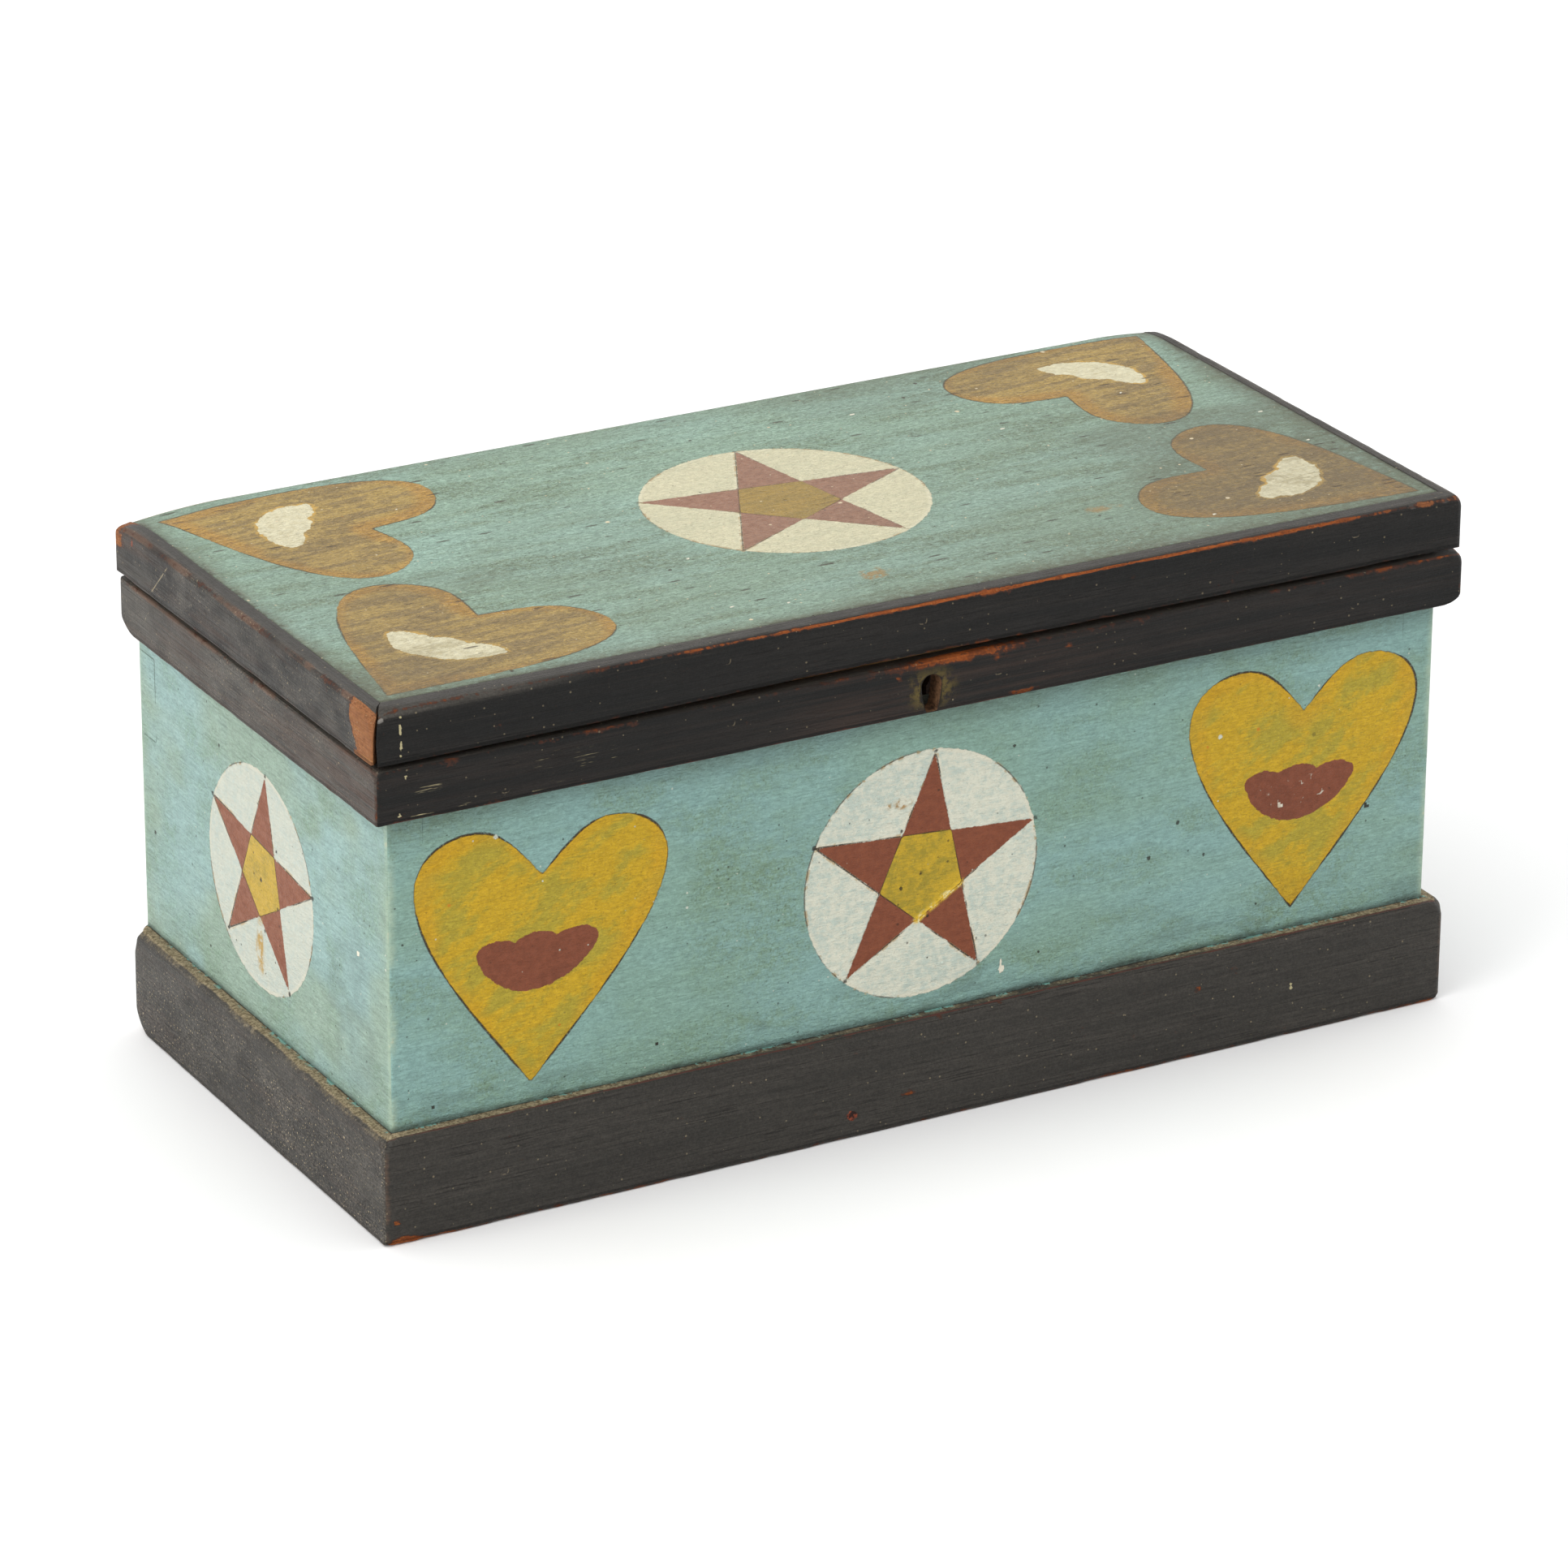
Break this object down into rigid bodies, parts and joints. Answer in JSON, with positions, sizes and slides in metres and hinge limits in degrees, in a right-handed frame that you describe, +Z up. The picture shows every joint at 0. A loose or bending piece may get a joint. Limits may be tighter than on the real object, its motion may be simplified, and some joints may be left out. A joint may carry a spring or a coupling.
{
  "type": "deed box",
  "caption": "Dovetailed pine deed box with applied black edge strips, a lid on butt hinges at the back and a box lock behind a keyhole in the front rim strip.",
  "frame": {"origin": "on the floor, at the middle of the closed box's outer size", "axes": "+X along the length to the right of someone facing the front, the front faces -Y, +Z up"},
  "size_m": [0.362, 0.175, 0.165],
  "materials": {
    "case_paint": "matt blue-green paint on pine, with painted hearts and stars",
    "lid_paint": "matt blue-green paint on pine, dirtier than the case",
    "black_moulding": "worn satin black paint on pine",
    "bare_pine": "bare aged pine",
    "iron": "dark aged iron",
    "brass": "dull aged brass"
  },
  "bodies": {
    "case": {"front_board": "case_paint", "back_board": "case_paint", "left_end_board": "case_paint", "right_end_board": "case_paint", "bottom_board": "bare_pine", "base_moulding_front": "black_moulding", "base_moulding_left": "black_moulding", "base_moulding_right": "black_moulding", "rim_moulding_front": "black_moulding", "rim_moulding_left": "black_moulding", "rim_moulding_right": "black_moulding", "base_moulding_nails": "iron", "rim_moulding_nails": "iron", "bottom_board_nails": "iron", "left_hinge_case_leaf": "iron", "left_hinge_pin": "iron", "right_hinge_case_leaf": "iron", "right_hinge_pin": "iron", "hinge_case_screws": "iron", "lock_plate": "brass", "lock_cap": "iron", "lock_bolt_spring": "iron", "lock_studs": "iron", "lock_screws": "iron"},
    "lid": {"lid_board": "lid_paint", "lid_moulding_front": "black_moulding", "lid_moulding_left": "black_moulding", "lid_moulding_right": "black_moulding", "lid_moulding_nails": "iron", "left_hinge_lid_leaf": "iron", "right_hinge_lid_leaf": "iron", "hinge_lid_screws": "iron", "link_plate": "brass", "lock_staple": "brass", "link_plate_screws": "iron"},
    "bolt": {"lock_bolt": "brass"}
  },
  "joints": [
    {"name": "lid_hinge", "type": "hinge", "parent": "case", "child": "lid", "pos_m": [0, 0.085, 0.14715], "axis": [-1, 0, 0], "range_deg": [0, 105]},
    {"name": "lock_bolt_slide", "type": "slide", "parent": "case", "child": "bolt", "axis": [1, 0, 0], "range_m": [0, 0.006]}
  ]
}
